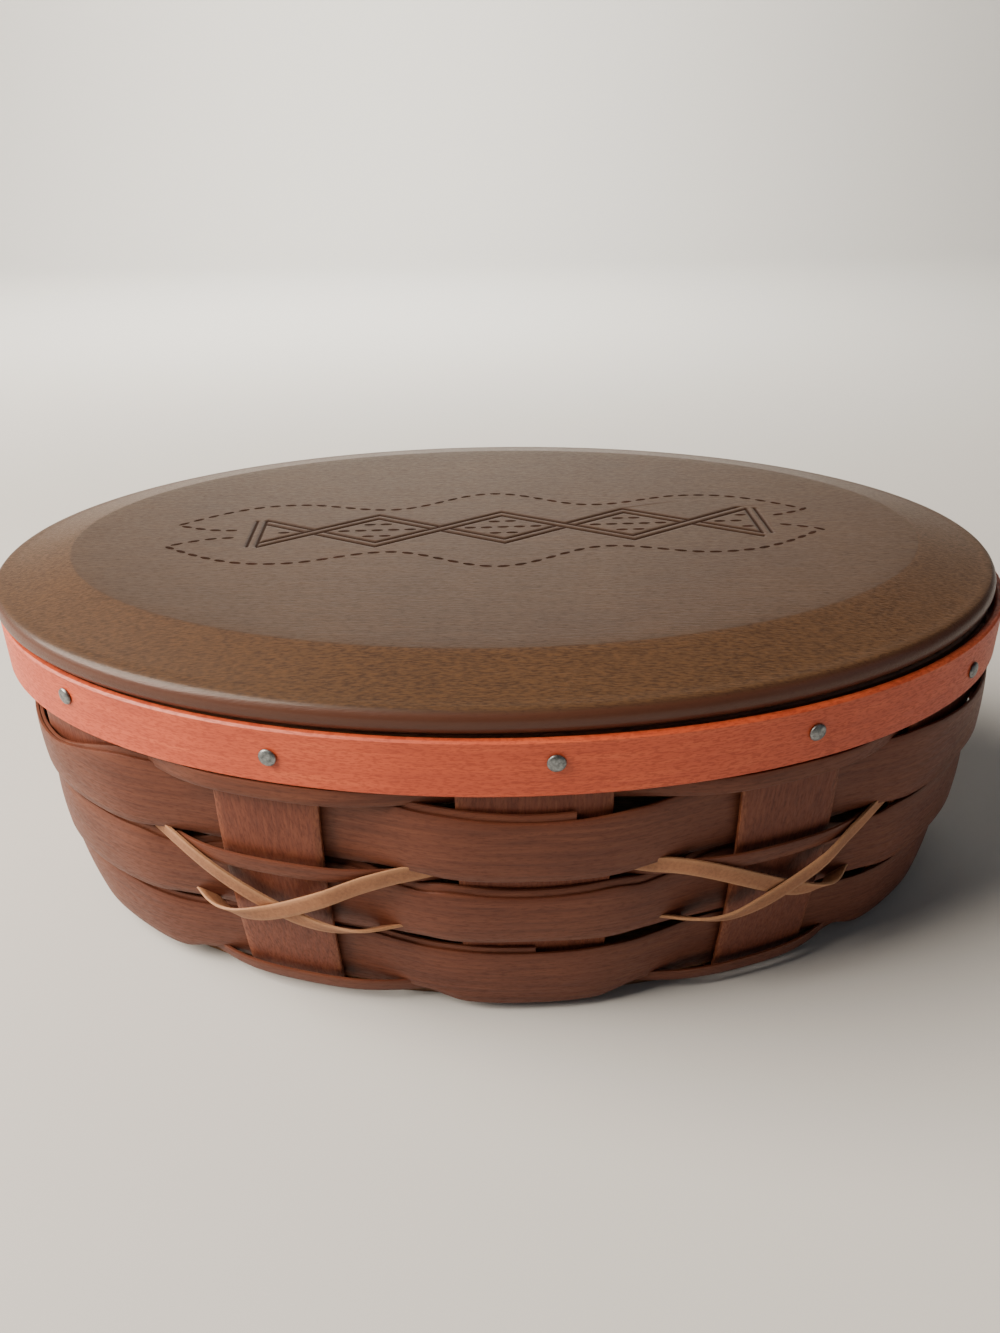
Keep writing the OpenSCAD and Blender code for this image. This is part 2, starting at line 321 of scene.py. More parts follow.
@dataclass(frozen=True)
class SteelFinish:
    """Plain wire-steel tack: a grey metal with scuffs and a dull skin."""

    name: str
    bright: str
    dull: str
    tones: tuple[float, float] = (0.35, 0.65)
    # Real scuffs are hair-fine, and are drawn as coarse as they need to show.
    scuff_mm: float = 1.1
    roughness: tuple[float, float] = (0.28, 0.5)
    bump: float = 0.25
    bump_mm: float = 0.15
    metallic: float = 0.9

    def build(self) -> Material:
        """Build the material.

        Returns:
            The finished material.
        """
        material, tree, shader = new_material(self.name)
        place = add_node(tree, "ShaderNodeTexCoord").outputs["Object"]
        scuffs = add_node(tree, "ShaderNodeTexNoise", inputs={
            "Vector": place, "Scale": 1 / (self.scuff_mm * MM), "Detail": 4.0, "Roughness": 0.6})
        metal = set_ramp(add_node(tree, "ShaderNodeValToRGB", inputs={"Fac": scuffs.outputs["Fac"]}), (
            (self.tones[0], linear(self.dull)), (self.tones[1], linear(self.bright))))
        rough = add_node(tree, "ShaderNodeMapRange", inputs={
            "Value": scuffs.outputs["Fac"], "To Min": self.roughness[1], "To Max": self.roughness[0]})
        bump = add_node(tree, "ShaderNodeBump", inputs={
            "Strength": self.bump, "Distance": self.bump_mm * MM, "Height": scuffs.outputs["Fac"]})
        fill(tree, shader, {"Base Color": metal.outputs["Color"], "Roughness": rough.outputs["Result"],
                            "Normal": bump.outputs["Normal"], "Metallic": self.metallic})
        return material


@dataclass(frozen=True)
class PaperFinish:
    """Plain matt studio paper for the floor and the wall."""

    name: str
    colour: str
    roughness: float = 0.9

    def build(self) -> Material:
        """Build the material.

        Returns:
            The finished material.
        """
        material, tree, shader = new_material(self.name)
        fill(tree, shader, {"Base Color": linear(self.colour), "Roughness": self.roughness})
        return material


# Maple veneer strips in walnut stain: red-brown with fine streaks; their edges are tinted darker, as painted
# shade where the rows meet and overlap.
WEAVER_WOOD = WoodFinish(
    "stained_maple_weaver", Grain.AROUND, "#4C271B", "#613424", "#70412D", "#3A1D14", "#54301F",
    streak_mm=1.2, pore_mm=0.5, pore_strength=0.3, specular=0.26)
# The same veneer with its grain upright: a little redder, with paler rubbed edges.
UPRIGHT_WOOD = WoodFinish(
    "stained_maple_upright", Grain.UP, "#52271B", "#673525", "#78442F", "#3A1B12", "#965C36",
    streak_mm=0.9, pore_mm=0.5, pore_strength=0.3, specular=0.26)
# Orange dye over maple: bright terracotta with a fine speckle of darker pores.
BAND_WOOD = WoodFinish(
    "orange_stained_maple", Grain.AROUND, "#AA4224", "#C0502D", "#D06139", "#8C2E17", "#D67C50",
    streak_mm=1.6, pore_mm=0.4, pore_share=0.4, pore_strength=0.5, roughness=(0.45, 0.6), cloud=0.35)
# Plain stained strip behind the orange one: an even brown.
INNER_WOOD = WoodFinish(
    "stained_maple_inner_band", Grain.AROUND, "#4A2E20", "#694430", "#7F563D", "#382016", "#8C6344")
# Birch board in walnut stain under satin lacquer: dull brown and a redder nose; the lighter gold flecks on
# its slope are partly the wood's own and partly painted sheen, standing in for glints of the lamp.
LID_WOOD = WoodFinish(
    "stained_birch_lid", Grain.ALONG, "#36251A", "#402D1F", "#4B3523", "#24120A", "#60442C",
    streak_mm=0.6, pore_mm=0.42, pore_share=0.34, pore_strength=0.55, edge_strength=0.6,
    roughness=(0.36, 0.5), coat=0.02, coat_roughness=0.13, specular=0.24, bump=0.25)
# Plain board under the basket: light brown with long streaks.
BASE_WOOD = WoodFinish(
    "plain_birch_base", Grain.ALONG, "#5A3B27", "#7A5438", "#93683F", "#452B1B", "#8C6344")
# Rawhide-coloured leather strip: dull and fibrous.
LACE_LEATHER = LeatherFinish("tan_leather_lace", "#9C6A48", "#7A4F35", "#B98E68")
# Steel tack heads: grey with scuffs.
TACK_STEEL = SteelFinish("scuffed_steel_tack", "#8F9293", "#5B5F60")
# Charred line at the bottom of a pressed stitch: dull near-black.
STITCH_CHAR = WoodFinish(
    "charred_birch_stitch", Grain.ALONG, "#1E110C", "#2A1811", "#38211A", "#150B07", "#2A1811",
    roughness=(0.8, 0.95), specular=0.1)
# Pale paper sweep: plain and matt.
STUDIO_PAPER = PaperFinish("pale_studio_paper", "#C4C4C2")


def put_in_scene(name: str, data: bpy.types.ID) -> Piece:
    """Make an object of a mesh, a light or a camera.

    Args:
        name: object name.
        data: what the object shows.

    Returns:
        The new object, linked to the scene.
    """
    made = bpy.data.objects.new(name, data)
    bpy.context.scene.collection.objects.link(made)
    return made


def plain_mesh(name: str, points: Sequence[Point], faces: Sequence[Sequence[int]]) -> bpy.types.Mesh:
    """Make a mesh in metres.

    Args:
        name: mesh name.
        points: points in millimetres.
        faces: point numbers of each face.

    Returns:
        The new mesh.
    """
    mesh = bpy.data.meshes.new(name)
    mesh.from_pydata([Vector(p) * MM for p in points], [], faces)
    return mesh


def write_mesh(name: str, points: Sequence[Point], faces: Sequence[Sequence[int]], material: Material,
               marks: dict[str, Sequence[float]], crease_deg: float = 50.0) -> Piece:
    """Make a closed smooth mesh object at the origin.

    Args:
        name: object name.
        points: points in millimetres.
        faces: point numbers of each face.
        material: finish of the piece.
        marks: named values for each point, for the finish.
        crease_deg: edges sharper than this stay crisp.

    Returns:
        The new object, linked to the scene.
    """
    mesh = plain_mesh(name, points, faces)
    for key, values in marks.items():
        mesh.attributes.new(key, "FLOAT", "POINT").data.foreach_set("value", list(values))
    work = bmesh.new()
    work.from_mesh(mesh)
    bmesh.ops.recalc_face_normals(work, faces=work.faces)
    work.to_mesh(mesh)
    work.free()
    mesh.shade_smooth()
    mesh.set_sharp_from_angle(angle=math.radians(crease_deg))
    mesh.materials.append(material)
    return put_in_scene(name, mesh)


def loft_faces(stations: int, ring: int, closed: bool) -> list[list[int]]:
    """Join rings of points into one skin.

    Args:
        stations: number of rings.
        ring: points in each ring.
        closed: True joins the last ring to the first; False caps both ends.

    Returns:
        Faces as lists of point numbers.
    """
    faces = []
    for i in range(stations if closed else stations - 1):
        k = (i + 1) % stations
        for j in range(ring):
            n = (j + 1) % ring
            faces.append([i * ring + j, k * ring + j, k * ring + n, i * ring + n])
    if not closed:
        half = ring // 2
        for start in (0, (stations - 1) * ring):
            for j in range(half - 1):
                faces.append([start + j, start + j + 1, start + ring - 2 - j, start + ring - 1 - j])
    return faces


# Rounded edge of a cut strip: its radius as a share of the thickness, and where its corner point
# lies, as shares of that radius in from the edge and down from the face.
EDGE_RADIUS = 0.42
CORNER_IN = 0.25
CORNER_DOWN = 0.45
# Edge band of a strip that its finish tints (rubbed wear on the uprights, painted shade on the weavers, a raw
# cut on the laces): the larger of a width in millimetres and a share of the strip's width.
EDGE_BAND_MM = 1.4
EDGE_BAND_SHARE = 0.05


def strip_section(width: float, thickness: float, steps: int) -> list[tuple[float, float, float]]:
    """Outline of a flat strip with rounded edges.

    Args:
        width: width of the strip.
        thickness: thickness of the strip.
        steps: parts across the flat.

    Returns:
        Place across, place through and nearness to an edge, for each point of the outline.
    """
    r = EDGE_RADIUS * thickness
    rim = max(EDGE_BAND_MM, EDGE_BAND_SHARE * width)
    side, corner = CORNER_IN * r, 0.5 * thickness - CORNER_DOWN * r
    flat = [(r + (width - 2 * r) * i / steps, 0.5 * thickness) for i in range(steps + 1)]
    outer = [(side, corner)] + flat + [(width - side, corner)]
    loop = outer + [(a, -d) for a, d in reversed(outer)]
    return [(a, d, max(0.0, 1 - min(a, width - a) / rim)) for a, d in loop]


def ease(x: float) -> float:
    """Smooth step from 0 to 1."""
    c = max(0.0, min(1.0, x))
    return c * c * (3 - 2 * c)


@dataclass(frozen=True)
class Ramp:
    """Smooth step that leaves 0 at its start and comes to 1 a reach further on, or back if negative."""

    start: float
    reach: float

    def at(self, x: float) -> float:
        """Height of the step at a place."""
        return ease((x - self.start) / self.reach)


@dataclass(frozen=True)
class Wall:
    """Leaning oval wall that every splint follows."""

    half_length: float = 149.25
    half_width: float = 102.85
    rim_z: float = 97.0
    knee_z: float = 81.5
    bend_z: float = 4.55
    foot_z: float = 1.95
    side_lean: float = 13.5
    end_lean: float = 9.0
    swell: float = 1.5
    layout_turn: float = 2.7
    front_pitch: float = 26.2
    end_pitch: float = 44.0
    end_hold: float = 1.6
    front_span: int = 2
    around: int = 12
    swing_out: float = 2.8
    weave_flat: float = 0.95
    # Share of the swing over which a weaver comes to its full width.
    widen: Ramp = Ramp(0.3, 0.6)
    # Turns between which the rows lie closer together, on the front side of each end.
    close_in: Ramp = Ramp(42.0, 16.0)
    close_out: Ramp = Ramp(83.0, -10.0)
    # Turn over which the front's own row heights fade, and share of the end pitch for an end's bow.
    front_reach: float = 21.0
    bow_reach: float = 0.42

    @property
    def front_turn(self) -> float:
        """Turn of the last front upright from the middle of the front."""
        return self.front_span * self.front_pitch

    @property
    def end_turn(self) -> float:
        """Turn of the end upright from the middle of the front."""
        return self.front_turn + self.end_pitch

    @property
    def back_pitch(self) -> float:
        """Turn between neighbouring uprights along the back."""
        return (360 - 2 * self.end_turn) / (self.around - 2 * self.front_span - 2)

    def half_axes(self, off: float, z: float) -> tuple[float, float]:
        """Half axes of the oval at a distance out from the wall and a height."""
        share = max(0.0, min(1.0, (self.knee_z - z) / (self.knee_z - self.bend_z))) ** self.swell
        return self.half_length + off - self.end_lean * share, self.half_width + off - self.side_lean * share

    def place(self, turn: float, off: float, z: float) -> Point:
        """Point of the wall in millimetres.

        Args:
            turn: degrees from the front.
            off: distance out from the wall.
            z: height.

        Returns:
            The point.
        """
        a, b = self.half_axes(off, z)
        t = math.radians(turn)
        return a * math.sin(t), -b * math.cos(t), z

    def run(self, turn: float, off: float, z: float) -> float:
        """Length along the oval for one degree of turn.

        Args:
            turn: degrees from the front.
            off: distance out from the wall.
            z: height.

        Returns:
            The length in millimetres.
        """
        a, b = self.half_axes(off, z)
        t = math.radians(turn)
        return math.radians(math.hypot(a * math.cos(t), b * math.sin(t)))

    def aside(self, turn: float) -> float:
        """Turn from the front upright, from -180 to 180."""
        return (turn - self.layout_turn + 180) % 360 - 180

    def upright_turn(self, k: int) -> float:
        """Turn of the centre of an upright.

        Args:
            k: count of the upright from the front one, negative to the left.

        Returns:
            Degrees from the front.
        """
        past = abs(k) - self.front_span
        if past <= 0:
            return self.layout_turn + k * self.front_pitch
        return self.layout_turn + math.copysign(self.end_turn + (past - 1) * self.back_pitch, k)

    def phase(self, turn: float) -> float:
        """Count of uprights along the oval.

        Args:
            turn: degrees from the front.

        Returns:
            The count from the front upright, negative to the left, whole on each upright.
        """
        t = self.aside(turn)
        d = abs(t)
        if d <= self.front_turn:
            return t / self.front_pitch
        if d <= self.end_turn:
            part = ((d - self.front_turn) / self.end_pitch) ** self.end_hold
            return math.copysign(self.front_span + part, t)
        return math.copysign(self.front_span + 1 + (d - self.end_turn) / self.back_pitch, t)

    def swing(self, turn: float) -> float:
        """Swing of a weaver that passes outside the front upright and lies flat along each upright."""
        s = max(-1.0, min(1.0, math.cos(math.pi * self.phase(turn)) / self.weave_flat))
        return self.swing_out * s * (1.5 - 0.5 * s * s)

    def spread(self, turn: float) -> float:
        """Share of a weaver's full width: none where it changes sides, all of it along an upright."""
        return self.widen.at(abs(self.swing(turn)) / self.swing_out)

    def end_part(self, turn: float) -> float:
        """Nearness to the front side of the ends, where the rows lie closer together."""
        t = abs(self.aside(turn))
        return self.close_in.at(t) * self.close_out.at(t)

    def front_part(self, turn: float) -> float:
        """Nearness to the front upright, where the rows stand out most and lie further apart."""
        return ease(1 - abs(self.aside(turn)) / self.front_reach)

    def end_bow(self, turn: float) -> float:
        """Share of a row's bow between the last front upright and the end upright.

        Args:
            turn: degrees from the front.

        Returns:
            The share, negative on the left side.
        """
        t = self.aside(turn)
        middle = self.front_turn + 0.5 * self.end_pitch
        return math.copysign(ease(1 - abs(abs(t) - middle) / (self.bow_reach * self.end_pitch)), t)

    def odd_part(self, turn: float) -> tuple[float, int]:
        """Place between two crossings of the laces.

        Args:
            turn: degrees from the front.

        Returns:
            Distance from the nearest odd upright, from -1 to 1, and the count of its crossing.
        """
        p = self.phase(turn)
        cross = math.floor((p - 1) / 2 + 0.5)
        return p - 1 - 2 * cross, cross


WALL = Wall()
# Waves in the waver of a hand-laid strip: waves round the oval, strength and part of the seed.
WAVES = ((3, 1.0, 1.0), (7, 0.7, 2.3), (13, 0.5, 4.1))
WAVES_FULL = 2.2


def wander(turn: float, seed: float) -> float:
    """Slow hand-made waver between about -1 and 1, the same each run."""
    t = math.radians(turn)
    return sum(share * math.sin(waves * t + part * seed) for waves, share, part in WAVES) / WAVES_FULL


@dataclass
class WeaverRow:
    """One strip woven round the wall, with its inner end lapped under its outer one.

    A pair of numbers stands for the lower and the upper edge, or for the left and the right side.
    """

    node: str
    low_z: float
    high_z: float
    thickness: float
    side: Turn
    seed: float
    lap: tuple[float, float]
    lap_rise: float = 0.0
    # How far the edges draw in where the strip changes sides, close up near the ends and move at the front.
    draw: tuple[float, float] = (0.0, 0.0)
    close: tuple[float, float] = (0.0, 0.0)
    front: tuple[float, float] = (0.0, 0.0)
    # How far the lower edge stands out, and how far the strip bows out before the end uprights.
    flare: float = 0.0
    end_out: tuple[float, float] = (0.0, 0.0)
    # Further slope of the strip in that bow and near the ends, and the right end's share of the closing.
    stair: float = 0.0
    lean: float = 0.0
    right_share: float = 1.0
    stations: int = 540
    steps: int = 8
    # Turn over which the inner end slips under the outer one, and the gap between the two.
    lap_under: Ramp = Ramp(350.0, 10.0)
    lap_gap: float = 0.1
    crown: float = 0.4
    # Waver of a hand-laid strip, outwards and in the height of its edges.
    stray_out: float = 0.18
    stray_z: float = 0.25
    edge_seeds: tuple[float, float] = (1.7, 3.1)

    def build(self, finish: Material) -> Piece:
        """Build the strip.

        Args:
            finish: material of the strip.

        Returns:
            The dressed piece.
        """
        height = self.high_z - self.low_z
        section = strip_section(height, self.thickness, self.steps)
        start, end = self.lap[0], self.lap[1] + 360
        points: list[Point] = []
        edges: list[float] = []
        for i in range(self.stations + 1):
            turn = start + (end - start) * i / self.stations
            under = self.lap_under.at(turn - start)
            drawn, near_end, bow = 1 - WALL.spread(turn), WALL.end_part(turn), WALL.end_bow(turn)
            near_end *= 1.0 if math.copysign(1, bow) < 0 else self.right_share
            swing = self.side.value * WALL.swing(turn) + self.stray_out * wander(turn, self.seed)
            swing -= (self.thickness + self.lap_gap) * under
            swing += self.end_out[0 if bow < 0 else 1] * abs(bow)
            middle, rise = WALL.front_part(turn), self.lap_rise * under * (1 - near_end)
            low = self.low_z + self.draw[0] * drawn - self.close[0] * near_end + self.front[0] * middle
            high = self.high_z - self.draw[1] * drawn + self.close[1] * near_end + self.front[1] * middle
            low += rise + self.stray_z * wander(turn, self.seed + self.edge_seeds[0])
            high += rise + self.stray_z * wander(turn, self.seed + self.edge_seeds[1])
            for a, d, e in section:
                part = a / height
                cup = self.flare * (0.5 - part + self.crown * (1 - (2 * part - 1) ** 2))
                cup += (self.stair * abs(bow) - self.lean * near_end) * (0.5 - part)
                points.append(WALL.place(turn, swing + cup + d, low + part * (high - low)))
                edges.append(e)
        faces = loft_faces(self.stations + 1, len(section), False)
        piece = write_mesh(self.node + "_strip", points, faces, finish, {"edge": edges})
        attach(piece, BASKET)
        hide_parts(self.node)
        return piece


@dataclass
class Uprights:
    """Flat splints that stand in the base board's groove and end between the rim bands."""

    covered_width: float = 38.5
    shown_width: float = 29.0
    thickness: float = 1.2
    bend_r: float = 2.6
    bend_step_deg: int = 15
    bend_lead: float = 0.3
    foot_in: float = 5.5
    drop: float = 1.5
    splay: float = 3.0
    wall_steps: int = 10
    steps: int = 14
    names: dict[int, str] = field(default_factory=lambda: {
        0: "front", 1: "front_right", 2: "right_front", 3: "right", 4: "right_back", 5: "back_right",
        6: "back", -5: "back_left", -4: "left_back", -3: "left", -2: "left_front", -1: "front_left"})

    def path(self) -> list[tuple[float, float, float]]:
        """Middle line of a splint.

        Returns:
            Distance out, height and slope in degrees, from the foot to the top.
        """
        r = self.bend_r
        line = [(-r - self.foot_in, WALL.foot_z, 0.0), (-r - self.bend_lead, WALL.foot_z, 0.0)]
        for s in range(0, 91, self.bend_step_deg):
            a = math.radians(s)
            line.append((r * math.sin(a) - r, WALL.foot_z + r * (1 - math.cos(a)), float(s)))
        for i in range(1, self.wall_steps + 1):
            line.append((0.0, WALL.bend_z + (WALL.knee_z - WALL.bend_z) * i / self.wall_steps, 90.0))
        line.append((0.0, WALL.rim_z - self.drop, 90.0))
        return line

    def build(self, finish: Material) -> list[Piece]:
        """Build all splints.

        Args:
            finish: material of the splints.

        Returns:
            The dressed pieces.
        """
        pieces = []
        path = self.path()
        for k, name in self.names.items():
            width = self.shown_width if k % 2 else self.covered_width
            section = strip_section(width, self.thickness, self.steps)
            turn = WALL.upright_turn(k)
            points: list[Point] = []
            edges: list[float] = []
            for off, z, slope in path:
                s = math.radians(slope)
                low = max(0.0, WALL.knee_z - z) / WALL.knee_z
                middle = turn + self.splay * math.sin(math.radians(2 * turn)) * low
                for a, d, e in section:
                    at = middle - (a - width / 2) / WALL.run(middle, off, z)
                    points.append(WALL.place(at, off + d * math.sin(s), z - d * math.cos(s)))
                    edges.append(e)
            faces = loft_faces(len(path), len(section), False)
            node = "upright_" + name
            piece = write_mesh(node + "_splint", points, faces, finish, {"edge": edges})
            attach(piece, BASKET)
            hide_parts(node)
            pieces.append(piece)
        return pieces


@dataclass
class Laces:
    """Two leather strips woven round the wall that cross over every odd upright.

    The ramps run along the way from one crossing to the next, where 1 is half of it.
    """

    width: float = 5.4
    thickness: float = 1.0
    low_z: float = 32.6
    high_z: float = 54.6
    slope: float = 0.88
    lift: float = 1.3
    over: float = 1.1
    over_reach: float = 0.18
    twist_deg: float = 58.0
    twisted: Ramp = Ramp(0.02, 0.42)
    tuck: float = 4.2
    tucked: Ramp = Ramp(0.5, 0.35)
    dive: float = 3.2
    dive_in: Ramp = Ramp(0.29, 0.24)
    dive_out: Ramp = Ramp(0.74, -0.25)
    stations: int = 900
    steps: int = 4
    probe_deg: float = 0.2
    most_tall: float = 1.25
    raw_edge: float = 0.7
    # Where a lace comes down to the lower gap: as a rule, and at the front's crossings by their way.
    usual_low_at: float = 0.28
    low_at: dict[tuple[int, bool], float] = field(default_factory=lambda: {
        (-1, False): 0.29, (-1, True): 0.26, (0, False): 0.30, (0, True): 0.35})

    def middle(self, turn: float, first: int) -> tuple[float, float, float]:
        """Middle of a lace.

        Args:
            turn: degrees from the front.
            first: 0 or 1, which of the two laces.

        Returns:
            Distance out from the wall, height and twist in degrees.
        """
        q, cross = WALL.odd_part(turn)
        falls_right = (cross + first) % 2 == 0
        fall = q if falls_right else -q
        low_at = self.low_at.get((cross, falls_right), self.usual_low_at)
        z = self.low_z + (self.high_z - self.low_z) * ease((low_at - fall) / self.slope)
        z += self.tuck * self.tucked.at(abs(q))
        off = self.lift - WALL.swing(turn) - self.dive * self.dive_in.at(fall) * self.dive_out.at(fall)
        if not falls_right:
            off += self.over * ease(2 - abs(q) / self.over_reach)
        return off, z, self.twist_deg * self.twisted.at(fall)

    def build(self, finish: Material) -> list[Piece]:
        """Build both laces.

        Args:
            finish: material of the laces.

        Returns:
            The dressed pieces.
        """
        pieces = []
        section = strip_section(self.width, self.thickness, self.steps)
        for first, node in enumerate(("lace_first", "lace_second")):
            points: list[Point] = []
            edges: list[float] = []
            for i in range(self.stations):
                turn = WALL.layout_turn - 180 + 360 * i / self.stations
                off, z, twist = self.middle(turn, first)
                before, after = [self.middle(turn + s, first)[1] for s in (-self.probe_deg, self.probe_deg)]
                slope = (after - before) / (2 * self.probe_deg * WALL.run(turn, off, z))
                tall = math.sqrt(1 + slope * slope)
                c, s = math.cos(math.radians(twist)), math.sin(math.radians(twist))
                for a, d, e in section:
                    b = (a - self.width / 2) * min(tall, self.most_tall)
                    up, out = b * c - d * s, d * c + b * s
                    points.append(WALL.place(turn, off + out, z + up))
                    edges.append(min(1.0, e * self.raw_edge))
            faces = loft_faces(self.stations, len(section), True)
            piece = write_mesh(node + "_strip", points, faces, finish, {"edge": edges})
            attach(piece, BASKET)
            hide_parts(node)
            pieces.append(piece)
        return pieces


class NodeTree:
    """Geometry node tree with named inputs that is run once and turned into a plain mesh."""

    def __init__(self, name: str, inputs: dict[str, tuple[str, Any]]) -> None:
        """Start the tree.

        Args:
            name: name of the tree.
            inputs: input name to socket type and value.
        """
        self.tree = bpy.data.node_groups.new(name, "GeometryNodeTree")
        self.values: dict[str, Any] = {}
        face = self.tree.interface
        face.new_socket("Geometry", in_out="INPUT", socket_type="NodeSocketGeometry")
        face.new_socket("Geometry", in_out="OUTPUT", socket_type="NodeSocketGeometry")
        for key, (kind, value) in inputs.items():
            socket = face.new_socket(key, in_out="INPUT", socket_type=kind)
            self.values[socket.identifier] = value
        self.given = self.tree.nodes.new("NodeGroupInput").outputs
        self.end = self.tree.nodes.new("NodeGroupOutput")

    def add(self, kind: str, settings: dict[str, Any] | None = None,
            inputs: dict[Any, Any] | None = None) -> bpy.types.Node:
        """Add a node to the tree."""
        return add_node(self.tree, kind, settings, inputs)

    def copies(self, shape: Socket, axis: str) -> Socket:
        """Set a shape on each point of the carrier.

        Args:
            shape: geometry of the shape.
            axis: the shape's axis that is turned to the point's direction.

        Returns:
            The copies.
        """
        facing = self.add("GeometryNodeInputNamedAttribute", {"data_type": "FLOAT_VECTOR"}, {
            "Name": "facing"})
        aim = self.add("FunctionNodeAlignRotationToVector", {"axis": axis}, {
            "Vector": facing.outputs["Attribute"]})
        dots = self.add("GeometryNodeMeshToPoints", inputs={"Mesh": self.given["Geometry"]})
        placed = self.add("GeometryNodeInstanceOnPoints", inputs={
            "Points": dots.outputs["Points"], "Instance": shape, "Rotation": aim.outputs["Rotation"]})
        return placed.outputs["Instances"]

    def finish(self, made: Socket) -> None:
        """End the tree in real geometry with the material of its input "Finish".

        Args:
            made: geometry of the piece.
        """
        real = self.add("GeometryNodeRealizeInstances", inputs={"Geometry": made})
        dressed = self.add("GeometryNodeSetMaterial", inputs={
            "Geometry": real.outputs["Geometry"], "Material": self.given["Finish"]})
        self.tree.links.new(dressed.outputs["Geometry"], self.end.inputs["Geometry"])

    def run(self, name: str, carrier: Piece, crease_deg: float = 40.0) -> Piece:
        """Run the tree on an object and keep the result as a plain mesh.

        Args:
            name: name of the new piece.
            carrier: object whose mesh the tree starts from; it is deleted.
            crease_deg: edges sharper than this stay crisp.

        Returns:
            The new piece.
        """
        modifier = carrier.modifiers.new("tree", "NODES")
        modifier.node_group = self.tree
        for key, value in self.values.items():
            modifier[key] = value
        seen = carrier.evaluated_get(bpy.context.evaluated_depsgraph_get())
        mesh = bpy.data.meshes.new_from_object(seen)
        mesh.name = name
        mesh.shade_smooth()
        mesh.set_sharp_from_angle(angle=math.radians(crease_deg))
        piece = put_in_scene(name, mesh)
        carrier.modifiers.remove(modifier)
        bpy.data.objects.remove(carrier, do_unlink=True)
        return piece


def carrier_of_points(name: str, points: Sequence[Point], normals: Sequence[Point]) -> Piece:
    """Make an object of loose points that carry a direction each.

    Args:
        name: object name.
        points: points in millimetres.
        normals: direction of each point.

    Returns:
        The new object.
    """
    mesh = plain_mesh(name, points, [])
    layer = mesh.attributes.new("facing", "FLOAT_VECTOR", "POINT")
    layer.data.foreach_set("vector", [c for n in normals for c in n])
    return put_in_scene(name, mesh)


